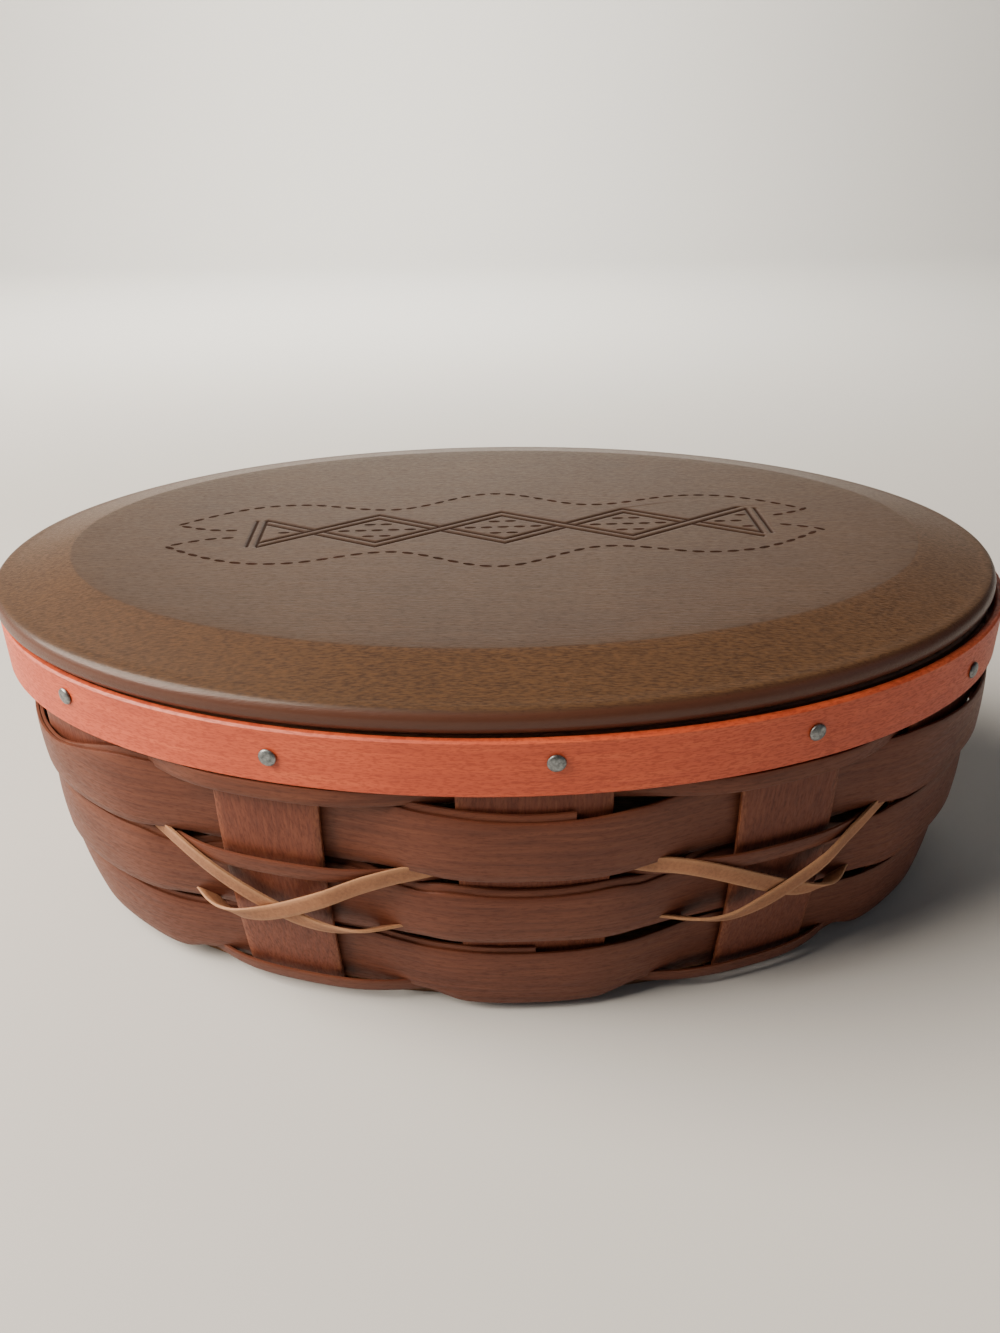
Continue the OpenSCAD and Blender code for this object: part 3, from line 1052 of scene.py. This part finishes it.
@dataclass
class Rim:
    """Two bent bands that hold the tops of the uprights, and the tacks through them."""

    height: float = 15.5
    outer_thickness: float = 2.4
    inner_thickness: float = 2.4
    edge_radius: float = 0.55
    band_steps: int = 360
    upright_thickness: float = 1.2
    seat: float = 0.15
    tack_r: float = 2.3
    tack_h: float = 0.97
    tack_edge: float = 0.15
    # Domed top of a head, as shares of its radius and height.
    tack_dome: tuple[tuple[float, float], ...] = ((1.0, 0.38), (0.93, 0.62), (0.74, 0.82), (0.45, 0.95))
    shank_r: float = 0.62
    shank_low: float = -5.0
    shank_tip: float = -6.2
    tack_around: int = 28
    # Turn of the tacks from their uprights, and the turn and height by which single tacks stray.
    tack_turn: float = 1.8
    tack_stray: dict[int, tuple[float, float]] = field(default_factory=lambda: {
        0: (0.0, 1.9), -2: (-0.3, 1.9), 1: (-0.8, 0.7), 2: (-0.4, -1.0)})

    def band(self, node: str, off: float, thickness: float, finish: Material) -> Piece:
        """Bend one band round the rim with a node tree.

        Args:
            node: CAD node that the band stands for.
            off: distance of the band's middle out from the wall.
            thickness: thickness of the band.
            finish: material of the band.

        Returns:
            The dressed piece.
        """
        nodes = NodeTree(node + "_tree", {
            "Half Length": ("NodeSocketFloat", (WALL.half_length + off) * MM),
            "Width Share": ("NodeSocketFloat", (WALL.half_width + off) / (WALL.half_length + off)),
            "Height": ("NodeSocketFloat", self.height * MM),
            "Thickness": ("NodeSocketFloat", thickness * MM),
            "Edge Radius": ("NodeSocketFloat", self.edge_radius * MM),
            "Middle Z": ("NodeSocketFloat", (WALL.rim_z - self.height / 2) * MM),
            "Finish": ("NodeSocketMaterial", finish)})
        given = nodes.given
        round_line = nodes.add("GeometryNodeCurvePrimitiveCircle", inputs={
            "Resolution": self.band_steps, "Radius": given["Half Length"]})
        shape = nodes.add("ShaderNodeCombineXYZ", inputs={"X": 1.0, "Y": given["Width Share"], "Z": 1.0})
        lift = nodes.add("ShaderNodeCombineXYZ", inputs={"Z": given["Middle Z"]})
        oval = nodes.add("GeometryNodeTransform", inputs={
            "Geometry": round_line.outputs["Curve"], "Scale": shape.outputs["Vector"],
            "Translation": lift.outputs["Vector"]})
        square = nodes.add("GeometryNodeCurvePrimitiveQuadrilateral", inputs={
            "Width": given["Thickness"], "Height": given["Height"]})
        rounded = nodes.add("GeometryNodeFilletCurve", inputs={
            "Curve": square.outputs["Curve"], "Radius": given["Edge Radius"]})
        skin = nodes.add("GeometryNodeCurveToMesh", inputs={
            "Curve": oval.outputs["Geometry"], "Profile Curve": rounded.outputs["Curve"]})
        nodes.finish(skin.outputs["Mesh"])
        piece = nodes.run(node + "_hoop", carrier_of_points(node + "_carrier", [(0, 0, 0)], [(0, 0, 1)]))
        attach(piece, BASKET)
        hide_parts(node)
        return piece

    def tack_mesh(self) -> Piece:
        """Turned head and shank of one tack, along Z, with its head's underside at Z = 0.

        Returns:
            An object that the node tree copies.
        """
        r, h, around = self.tack_r, self.tack_h, self.tack_around
        profile = [(self.shank_r, self.shank_low), (self.shank_r, 0.0),
                   (r - self.tack_edge, 0.0), (r, self.tack_edge)]
        profile += [(across * r, up * h) for across, up in self.tack_dome]
        angles = [2 * math.pi * i / around for i in range(around)]
        points: list[Point] = [(x * math.cos(a), x * math.sin(a), z) for x, z in profile for a in angles]
        low, top, last = len(points), len(points) + 1, len(points) - around
        points += [(0.0, 0.0, self.shank_tip), (0.0, 0.0, h)]
        faces = [[i + j, i + (j + 1) % around, i + around + (j + 1) % around, i + around + j]
                 for i in range(0, last, around) for j in range(around)]
        faces += [[low, (j + 1) % around, j] for j in range(around)]
        faces += [[top, last + j, last + (j + 1) % around] for j in range(around)]
        return bpy.data.objects.new("tack_shape", plain_mesh("tack_shape", points, faces))

    def tacks(self, finish: Material) -> Piece:
        """Set one tack at each upright with a node tree.

        Args:
            finish: material of the tacks.

        Returns:
            The dressed piece.
        """
        off = self.upright_thickness / 2 + 2 * self.seat + self.outer_thickness
        points, normals = [], []
        for k in range(1 - WALL.around // 2, WALL.around // 2 + 1):
            aside, above = self.tack_stray.get(k, (0.0, 0.0))
            turn = WALL.upright_turn(k) + self.tack_turn + aside
            points.append(WALL.place(turn, off, WALL.rim_z - self.height / 2 + above))
            t = math.radians(turn)
            out = Vector((math.sin(t) / (WALL.half_length + off), -math.cos(t) / (WALL.half_width + off), 0))
            normals.append(tuple(out.normalized()))
        shape = self.tack_mesh()
        nodes = NodeTree("rim_tacks_tree", {
            "Tack": ("NodeSocketObject", shape), "Finish": ("NodeSocketMaterial", finish)})
        one = nodes.add("GeometryNodeObjectInfo", inputs={"Object": nodes.given["Tack"]})
        nodes.finish(nodes.copies(one.outputs["Geometry"], "Z"))
        piece = nodes.run("rim_tack_heads", carrier_of_points("tack_places", points, normals))
        bpy.data.objects.remove(shape, do_unlink=True)
        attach(piece, BASKET)
        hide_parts("rim_tacks")
        return piece

    def build(self, outer: Material, inner: Material, steel: Material) -> list[Piece]:
        """Build the bands and the tacks.

        Args:
            outer: material of the stained band.
            inner: material of the plain band.
            steel: material of the tacks.

        Returns:
            The dressed pieces.
        """
        gap = self.upright_thickness / 2 + self.seat
        return [self.band("outer_band", gap + self.outer_thickness / 2, self.outer_thickness,
                          outer),
                self.band("inner_band", -gap - self.inner_thickness / 2, self.inner_thickness,
                          inner),
                self.tacks(steel)]


@dataclass(frozen=True)
class Ornament:
    """Pressed ornament of the lid: a chain of lozenges inside a running-stitch outline.

    The outline swells at the middle and at the hips, and narrows at the waists and the ends.
    """

    lozenge: float = 39.0
    amplitude: float = 11.8
    strap_half: float = 1.45
    groove: float = 0.62
    depth: float = 0.35
    soft: float = 0.8
    nudge: float = 0.01
    bar_x: tuple[float, float] = (-76.0, 80.0)
    bar_half: float = 11.0
    bar_over: float = 0.6
    bar_clear: float = 4.0
    stitch: float = 4.3
    stitch_width: float = 1.75
    stitch_thickness: float = 0.3
    stitch_sink: float = 0.06
    stitch_step: float = 5.1
    first_stitch: float = 1.0
    outline_shift: float = -2.4
    line_step: float = 0.5
    # Half width of the outline at the middle; then distance from the middle and half width of each turn.
    middle_y: float = 31.4
    waist: tuple[float, float] = (33.0, 18.2)
    hip: tuple[float, float] = (64.0, 25.0)
    end: tuple[float, float] = (99.5, 9.0)
    end_bend: float = 1.15
    # The line turns back in at its ends; its left tail and its right one have their own lengths.
    tail_tip: tuple[float, float] = (99.4, 9.2)
    tail: tuple[float, float] = (99.0, 8.6)
    tail_drop: float = 5.4
    tail_curl: int = 34
    tail_steps: tuple[int, int] = (36, 26)
    # Stitches inside a lozenge: height of the outer rows, and counts of the middle and the outer rows.
    fill_rise: float = 5.0
    fill_counts: tuple[int, int] = (5, 2)
    turn_deg: float = 2.0
    shift: tuple[float, float] = (2.8, 1.0)

    def zigzag(self, x: float) -> float:
        """Height of the first strand, which peaks at the middle; the second is its mirror image."""
        return self.amplitude * (2 * abs((x / self.lozenge) % 2 - 1) - 1)

    def swell(self, x: float) -> float:
        """Half width of the stitched outline.

        Args:
            x: distance from the middle of the ornament.

        Returns:
            Distance from the long axis.
        """
        (waist_x, waist_y), (hip_x, hip_y), (end_x, end_y) = self.waist, self.hip, self.end
        if x <= waist_x:
            mean, half, part = (self.middle_y + waist_y) / 2, (self.middle_y - waist_y) / 2, x / waist_x
        elif x <= hip_x:
            mean, half, part = (waist_y + hip_y) / 2, (waist_y - hip_y) / 2, (x - waist_x) / (hip_x - waist_x)
        else:
            part = min(1.0, (x - hip_x) / (end_x - hip_x))
            mean, half, part = end_y, hip_y - end_y, part ** self.end_bend / 2
        return mean + half * math.cos(math.pi * part)

    def outline(self) -> list[tuple[float, float]]:
        """Upper half of the stitched line.

        Returns:
            Points from the left tail over the middle to the right tail.
        """
        (tail_x, tail_y), steps = self.tail, self.tail_steps
        along = [i * self.line_step for i in range(int(tail_x / self.line_step) + 1)]
        right = [(x, self.swell(x)) for x in along]
        tail = [self.tail_tip]
        for i in range(1, steps[0] + 1):
            fall = math.sin(math.pi / 2 * min(1.0, i / self.tail_curl))
            tail.append((tail_x - i * self.line_step, tail_y - self.tail_drop * fall))
        left = [(-x, y) for x, y in reversed(right + tail)]
        return left + right[1:] + tail[:steps[1]]

    def stitches(self) -> list[tuple[float, float, float]]:
        """Places of the stitches.

        Returns:
            X, Y and direction in radians of each stitch, in the ornament.
        """
        found = []
        for mirror in (1, -1):
            line = [(x + self.outline_shift, mirror * y) for x, y in self.outline()]
            walked, due = 0.0, self.first_stitch
            for (x0, y0), (x1, y1) in zip(line, line[1:]):
                step = math.hypot(x1 - x0, y1 - y0)
                while step > 0 and walked + step >= due:
                    part = (due - walked) / step
                    way = math.atan2(y1 - y0, x1 - x0)
                    found.append((x0 + part * (x1 - x0), y0 + part * (y1 - y0), way))
                    due += self.stitch_step
                walked += step
        many, few = self.fill_counts
        for centre in (-2, -1, 0, 1, 2):
            x = centre * self.lozenge
            for row, count in ((0.0, many), (self.fill_rise, few), (-self.fill_rise, few)):
                for i in range(count):
                    at = x + (i - (count - 1) / 2) * self.stitch_step
                    if self.bar_x[0] + self.bar_clear < at < self.bar_x[1] - self.bar_clear:
                        found.append((at, row, 0.0))
        return found

    def to_lid(self, x: float, y: float) -> tuple[float, float]:
        """Place of an ornament point on the lid."""
        c, s = math.cos(math.radians(self.turn_deg)), math.sin(math.radians(self.turn_deg))
        return self.shift[0] + c * x - s * y, self.shift[1] + s * x + c * y

    def from_lid(self, x: float, y: float) -> tuple[float, float]:
        """Place in the ornament of a point on the lid.

        Args:
            x: place along the lid.
            y: place across the lid.

        Returns:
            Place along and across the ornament.
        """
        c, s = math.cos(math.radians(self.turn_deg)), math.sin(math.radians(self.turn_deg))
        x, y = x - self.shift[0], y - self.shift[1]
        return c * x + s * y, -s * x + c * y

    def cut(self, distance: float) -> float:
        """Depth share of the two grooves that edge a strap, at a distance from its middle line."""
        return math.exp(-((abs(distance) - self.strap_half) / self.groove) ** 2)

    def pressed(self, lid_x: float, lid_y: float) -> float:
        """Depth of the ornament at a place on the lid.

        Args:
            lid_x: place along the lid.
            lid_y: place across the lid.

        Returns:
            Depth share from 0 to 1.
        """
        x, y = self.from_lid(lid_x, lid_y)
        from_bar = min(x - self.bar_x[0], self.bar_x[1] - x)
        bar = self.cut(from_bar) * ease((self.bar_half + self.bar_over - abs(y)) / self.soft)
        if from_bar <= self.strap_half:
            return bar
        flat = 1 / math.hypot(1, 2 * self.amplitude / self.lozenge)
        high = self.zigzag(x)
        rising, falling = (high, -high) if self.zigzag(x + self.nudge) > high else (-high, high)
        crossing = round(x / self.lozenge - 0.5)
        over, under = (falling, rising) if crossing == 0 else (rising, falling)
        d_over, d_under = (y - over) * flat, (y - under) * flat
        clear = ease((abs(d_over) - self.strap_half) / self.soft)
        return max(bar, self.cut(d_over), self.cut(d_under) * clear)


@dataclass
class Lid:
    """Loose board with a sloped border, a rounded nose, a locating step and a pressed ornament."""

    half_length: float = 151.2
    half_width: float = 104.8
    board: float = 11.9
    flat_in: float = 6.0
    border: float = 23.0
    border_steps: int = 8
    # Softened ridge between the flat top and the sloped border.
    ridge_flat: float = 0.5
    ridge_dip: tuple[float, float] = (0.1, 0.03)
    ridge_slope: float = 0.4
    nose: float = 7.2
    nose_in: float = 3.4
    # Arc of the nose: its middle and half height as shares of the nose, and how far round it goes.
    nose_middle: float = 0.52
    nose_half: float = 0.47
    nose_deg: int = 65
    nose_full_deg: float = 66.0
    nose_step_deg: int = 13
    nose_under: float = 0.8
    rest_gap: float = 0.35
    step_h: float = 6.0
    in_step: float = 7.7
    # Softened root and lower edge of the locating step, inwards and upwards.
    step_root: tuple[float, float] = (0.2, 0.3)
    step_edge: tuple[tuple[float, float], ...] = ((0.0, 1.2), (0.4, 0.4), (1.5, 0.0))
    shift: float = -2.0
    # Half sizes and cell of the fine grid under the ornament, and the rings from it to the flat's border.
    panel_x: float = 86.0
    panel_y: float = 16.5
    cell: float = 0.36
    ring_parts: tuple[float, float] = (0.33, 0.66)
    # Strength of the char in the grooves, and where the gloss of the nose ends, as shares of its depth.
    char_gain: float = 1.3
    gloss_in: float = 0.5
    gloss_reach: float = 0.35
    board_crease_deg: float = 60.0
    stitch_crease_deg: float = 80.0
    ornament: Ornament = field(default_factory=Ornament)

    def profile(self) -> list[tuple[float, float]]:
        """Section of the board outside its flat top.

        Returns:
            Distance in from the edge and height above the rim, from the flat top to the step.
        """
        n, r, top, border = self.nose, self.nose_in, self.board, self.border
        rise = (top - n) / (border - r)
        line = [(border + self.flat_in, top), (border + self.ridge_flat, top),
                (border + self.ridge_dip[0], top - self.ridge_dip[1]),
                (border - self.ridge_slope, top - self.ridge_slope * rise)]
        for i in range(1, self.border_steps + 1):
            d = border - (border - r) * i / self.border_steps
            line.append((d, n + rise * (d - r)))
        full = math.sin(math.radians(self.nose_full_deg))
        for s in range(self.nose_deg, -self.nose_deg - 1, -self.nose_step_deg):
            a = math.radians(s)
            up = self.nose_middle * n + self.nose_half * n * math.sin(a) / full
            line.append((r * (1 - math.cos(a)), up))
        line += [(self.nose_under * r, self.rest_gap), (self.in_step - self.step_root[0], self.rest_gap),
                 (self.in_step, self.rest_gap - self.step_root[1])]
        return line + [(self.in_step + inward, up - self.step_h) for inward, up in self.step_edge]

    def panel(self, top: float) -> tuple[list[Point], list[float], list[list[int]], list[int]]:
        """Fine grid under the ornament.

        Args:
            top: height of the flat top.

        Returns:
            Points, depth shares, faces and the point numbers round its border.
        """
        nx, ny = round(2 * self.panel_x / self.cell), round(2 * self.panel_y / self.cell)
        points: list[Point] = []
        depths: list[float] = []
        for j in range(ny + 1):
            for i in range(nx + 1):
                x, y = self.panel_x * (2 * i / nx - 1), self.panel_y * (2 * j / ny - 1)
                depths.append(self.ornament.pressed(x, y) if 0 < i < nx and 0 < j < ny else 0.0)
                points.append((x + self.shift, y, top - self.ornament.depth * depths[-1]))
        row = nx + 1
        faces = [[j * row + i, j * row + i + 1, (j + 1) * row + i + 1, (j + 1) * row + i]
                 for j in range(ny) for i in range(nx)]
        border = (list(range(nx)) + [j * row + nx for j in range(ny)]
                  + [ny * row + i for i in range(nx, 0, -1)] + [j * row for j in range(ny, 0, -1)])
        return points, depths, faces, border

    def build(self, finish: Material, char: Material) -> list[Piece]:
        """Build the board and the charred stitches.

        Args:
            finish: material of the board.
            char: material of the stitches.

        Returns:
            The dressed pieces.
        """
        top = WALL.rim_z + self.board
        points, depths, faces, last = self.panel(top)
        around = len(last)
        inner = [points[v] for v in last]
        turns = [math.atan2(y / self.half_width, (x - self.shift) / self.half_length) for x, y, _ in inner]
        profile = self.profile()
        ovals = [(part, *profile[0]) for part in self.ring_parts] + [(1.0, d, h) for d, h in profile]
        burnt = [min(1.0, self.char_gain * d) for d in depths] + [0.0] * (len(ovals) * around + 1)
        slope_flecks_and_sheen, gloss = [0.0] * len(depths), [0.0] * len(depths)
        nose = self.gloss_in * self.nose_in
        for part, d, h in ovals:
            start, above = len(points), h > self.rest_gap
            for t, (x, y, _) in zip(turns, inner):
                out_x = self.shift + (self.half_length - d) * math.cos(t)
                out_y = (self.half_width - d) * math.sin(t)
                points.append((x + part * (out_x - x), y + part * (out_y - y), WALL.rim_z + h))
            new = list(range(start, start + around))
            faces += [[last[i], new[i], new[(i + 1) % around], last[(i + 1) % around]] for i in range(around)]
            last = new
            # The sloped border gets lighter flecks: partly the wood's own, partly painted sheen standing in
            # for glints of the lamp.
            slope_flecks_and_sheen += [1.0 if above and nose < d < self.border else 0.0] * around
            gloss += [ease((nose - d) / (self.gloss_reach * self.nose_in)) if above else 0.0] * around
        points.append((self.shift, 0.0, WALL.rim_z - self.step_h))
        faces += [[last[i], len(points) - 1, last[(i + 1) % around]] for i in range(around)]
        marks = {"pressed": burnt, "edge": slope_flecks_and_sheen + [0.0], "gloss": gloss + [0.0]}
        board = write_mesh("lid_board", points, faces, finish, marks, self.board_crease_deg)
        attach(board, LID)
        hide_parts("lid")
        return [board, self.stitch_piece(top, char)]

    def stitch_piece(self, top: float, char: Material) -> Piece:
        """Lay the charred stitches flush into the flat top with a node tree.

        Args:
            top: height of the lid's flat top.
            char: material of the stitches.

        Returns:
            The dressed piece.
        """
        o = self.ornament
        places, ways = [], []
        for x, y, angle in o.stitches():
            lx, ly = o.to_lid(x, y)
            turn = angle + math.radians(o.turn_deg)
            places.append((lx + self.shift, ly, top - o.stitch_sink))
            ways.append((math.cos(turn), math.sin(turn), 0.0))
        nodes = NodeTree("lid_stitch_tree", {
            "Length": ("NodeSocketFloat", o.stitch * MM),
            "Width": ("NodeSocketFloat", o.stitch_width * MM),
            "Thickness": ("NodeSocketFloat", o.stitch_thickness * MM),
            "Finish": ("NodeSocketMaterial", char)})
        given = nodes.given
        bead = nodes.add("GeometryNodeMeshUVSphere", inputs={"Segments": 10, "Rings": 6, "Radius": 0.5})
        size = nodes.add("ShaderNodeCombineXYZ", inputs={
            "X": given["Length"], "Y": given["Width"], "Z": given["Thickness"]})
        dash = nodes.add("GeometryNodeTransform", inputs={
            "Geometry": bead.outputs["Mesh"], "Scale": size.outputs["Vector"]})
        nodes.finish(nodes.copies(dash.outputs["Geometry"], "X"))
        carrier = carrier_of_points("stitch_places", places, ways)
        piece = nodes.run("lid_stitches", carrier, self.stitch_crease_deg)
        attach(piece, LID)
        return piece


@dataclass
class Weave:
    """The rows of the wall, from the rim to the base."""

    wide_t: float = 1.0
    narrow_t: float = 1.0
    narrow_steps: int = 3

    def rows(self) -> list[WeaverRow]:
        """List the wide and the narrow rows.

        Returns:
            The rows, each kind from the top down.
        """
        wide, thin = (self.wide_t, Turn.OUTSIDE), (self.narrow_t, Turn.INSIDE)
        return [
            WeaverRow("wide_weaver_top", 55.0, 78.3, *wide, 0.4, (-95.0, 6.5), 1.9, draw=(0.8, 0.6),
                      close=(1.0, -5.6), front=(-0.7, -5.0), flare=0.6, end_out=(-2.6, 0.8), stair=3.0,
                      lean=1.5, right_share=0.4),
            WeaverRow("wide_weaver_middle", 29.6, 52.5, *wide, 1.9, (-95.0, 29.0), 2.2, draw=(1.0, 2.2),
                      close=(1.2, 0.6), front=(1.6, -5.0), flare=1.2, end_out=(-1.8, 0.6), stair=2.4),
            WeaverRow("wide_weaver_bottom", 4.4, 26.5, *wide, 3.1, (-95.0, 3.0), 1.6, draw=(2.6, 0.6),
                      close=(-2.0, 1.0), front=(-1.2, -2.0), flare=1.2, end_out=(-1.0, -1.4), stair=-1.4),
            WeaverRow("narrow_weaver_top", 76.4, 81.3, *thin, 4.4, (185.0, 209.0), close=(2.2, -0.4),
                      steps=self.narrow_steps),
            WeaverRow("narrow_weaver_middle", 50.2, 55.2, *thin, 5.2, (140.0, 164.0),
                      steps=self.narrow_steps),
            WeaverRow("narrow_weaver_bottom", 4.2, 8.8, *thin, 6.6, (215.0, 239.0),
                      steps=self.narrow_steps)]

    def build(self, finish: Material) -> list[Piece]:
        """Build all rows."""
        return [row.build(finish) for row in self.rows()]


@dataclass(frozen=True)
class Lamp:
    """Soft square light, with its place, aim and edge in millimetres and its power in watts."""

    name: str
    place: Point
    aim: Point
    size: float
    power: float
    colour: str

    def hang(self) -> None:
        """Hang the light so that it faces its aim."""
        data = bpy.data.lights.new(self.name, "AREA")
        data.shape, data.size, data.energy = "SQUARE", self.size * MM, self.power
        data.color = linear(self.colour)[:3]
        turn = (Vector(self.aim) - Vector(self.place)).to_track_quat("-Z", "Y").to_matrix().to_4x4()
        put_in_scene(self.name, data).matrix_world = Matrix.Translation(Vector(self.place) * MM) @ turn


@dataclass
class Studio:
    """Pale paper sweep, soft lights and the camera of the photograph."""

    focal_px: float = 1080.0
    image_px: tuple[int, int] = (1000, 1333)
    sensor: float = 36.0
    clip_m: tuple[float, float] = (0.01, 50.0)
    pitch_deg: float = 28.0
    roll_deg: float = -0.84
    eye: Point = (-0.8, -315.6, 228.1)
    floor_front: float = -2600.0
    floor_back: float = 1400.0
    floor_drop: float = 0.05
    bend_r: float = 500.0
    wall_top: float = 2400.0
    half_width: float = 3000.0
    air: str = "#E6E8EA"
    air_strength: float = 0.07
    lamps: tuple[Lamp, ...] = (
        Lamp("window_left", (-1420, -190, 1250), (0, 0, 60), 1500, 134, "#FFF2E2"),
        Lamp("front_ceiling", (-300, -1500, 1500), (0, 0, 80), 1000, 1.0, "#F8F8FF"),
        Lamp("wall_wash", (-200, 900, 800), (0, 1900, 60), 700, 25, "#FFFBF2"),
        Lamp("fill_right", (1500, -700, 420), (0, 0, 30), 1000, 1.3, "#F2F4FF"))

    def camera(self) -> None:
        """Place the camera and make it the scene's own."""
        data = bpy.data.cameras.new("photo_camera")
        data.sensor_width = self.sensor
        data.lens = self.focal_px / max(self.image_px) * data.sensor_width
        data.clip_start, data.clip_end = self.clip_m
        tilt = Matrix.Rotation(math.radians(90 - self.pitch_deg), 4, "X")
        roll = Matrix.Rotation(math.radians(self.roll_deg), 4, "Z")
        eye = put_in_scene("photo_camera", data)
        eye.matrix_world = Matrix.Translation(Vector(self.eye) * MM) @ (tilt @ roll)
        bpy.context.scene.camera = eye

    def sweep(self, finish: Material) -> None:
        """Make the floor and the wall as one bent sheet.

        Args:
            finish: material of the sheet.
        """
        back, r = self.floor_back, self.bend_r
        line = [(self.floor_front, 0.0), (back, 0.0)]
        line += [(back + r * math.sin(math.radians(s)), r - r * math.cos(math.radians(s)))
                 for s in range(10, 91, 10)]
        line.append((back + r, self.wall_top))
        points = [(x, y, z - self.floor_drop) for y, z in line for x in (-self.half_width, self.half_width)]
        faces = [[2 * i, 2 * i + 1, 2 * i + 3, 2 * i + 2] for i in range(len(line) - 1)]
        mesh = plain_mesh("studio_sweep", points, faces)
        mesh.shade_smooth()
        mesh.materials.append(finish)
        floor = put_in_scene("studio_sweep", mesh)

    def build(self, paper: Material) -> None:
        """Set up camera, sweep, lights and air.

        Args:
            paper: material of the sweep.
        """
        self.camera()
        self.sweep(paper)
        for lamp in self.lamps:
            lamp.hang()
        world = bpy.data.worlds.new("studio_air")
        world.use_nodes = True
        fill(world.node_tree, world.node_tree.nodes["Background"], {
            "Color": linear(self.air), "Strength": self.air_strength})
        bpy.context.scene.world = world


def main() -> None:
    """Build every piece of the basket and its studio."""
    logging.basicConfig(level=logging.INFO, format="%(message)s")
    Studio().build(STUDIO_PAPER.build())
    weaver, upright = WEAVER_WOOD.build(), UPRIGHT_WOOD.build()
    pieces = Weave().build(weaver)
    pieces += Uprights().build(upright)
    pieces += Laces().build(LACE_LEATHER.build())
    pieces += Rim().build(BAND_WOOD.build(), INNER_WOOD.build(), TACK_STEEL.build())
    pieces += Lid().build(LID_WOOD.build(), STITCH_CHAR.build())
    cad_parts["base_board"].material_slots[0].material = BASE_WOOD.build()
    for piece in pieces:
        LOG.info("%s: %d faces", piece.name, len(piece.data.polygons))


if __name__ == "__main__":
    main()
